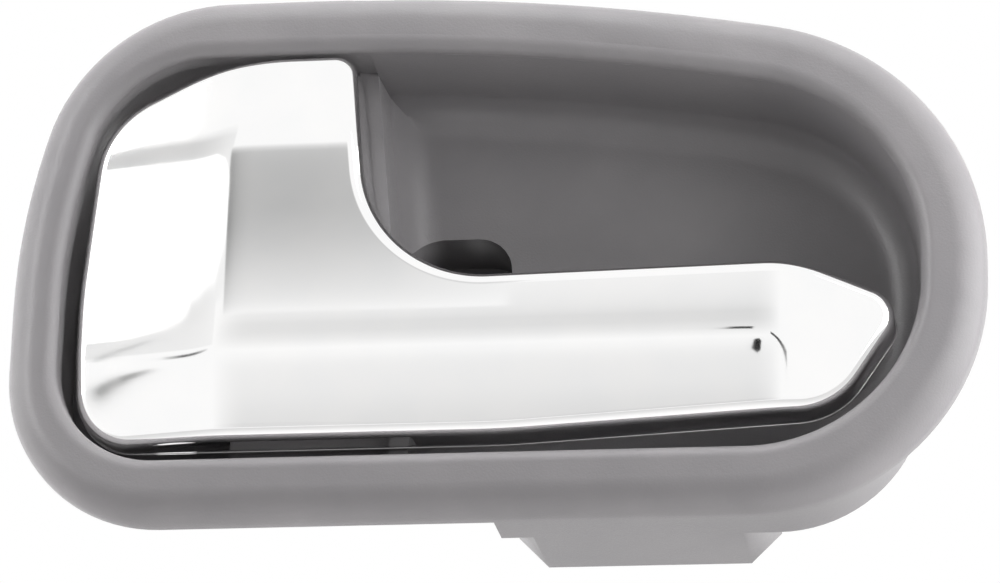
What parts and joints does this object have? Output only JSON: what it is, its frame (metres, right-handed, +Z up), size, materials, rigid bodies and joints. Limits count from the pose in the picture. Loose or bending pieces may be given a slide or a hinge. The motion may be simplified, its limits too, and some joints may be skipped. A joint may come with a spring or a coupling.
{
  "type": "car interior door handle",
  "caption": "Car interior door handle: grained plastic bezel with a finger cup, and a chromed lever that swings out on a sprung steel pin to pull the latch rod.",
  "frame": {"origin": "centre of the fixing screw hole, on the rear face of its boss, where the handle meets the door's inner panel", "axes": "+X towards the lever's free end, -Y out of the door into the cabin, +Z up on the door"},
  "size_m": [0.1526, 0.0392, 0.087],
  "materials": {
    "bezel_plastic": "fine moulded grain, warm grey",
    "lever_chrome": "bright chrome plate",
    "pin_steel": "bright zinc-plated steel",
    "spring_steel": "oiled spring wire",
    "bumper_rubber": "matt black rubber",
    "bush_nylon": "natural nylon"
  },
  "bodies": {
    "housing": {"bezel_housing": "bezel_plastic", "pivot_pin": "pin_steel", "pin_clip": "pin_steel", "return_spring": "spring_steel", "rest_bumper_upper": "bumper_rubber", "rest_bumper_lower": "bumper_rubber"},
    "lever": {"lever": "lever_chrome", "rod_bush": "bush_nylon"}
  },
  "joints": [
    {"name": "lever_pull", "type": "hinge", "parent": "housing", "child": "lever", "pos_m": [-0.044, -0.028, -0.0015], "axis": [0, 0, -1], "range_deg": [0, 35], "stiffness_Nm_per_rad": 0.5, "springref_deg": -34.38, "deforming": ["return_spring"]}
  ]
}
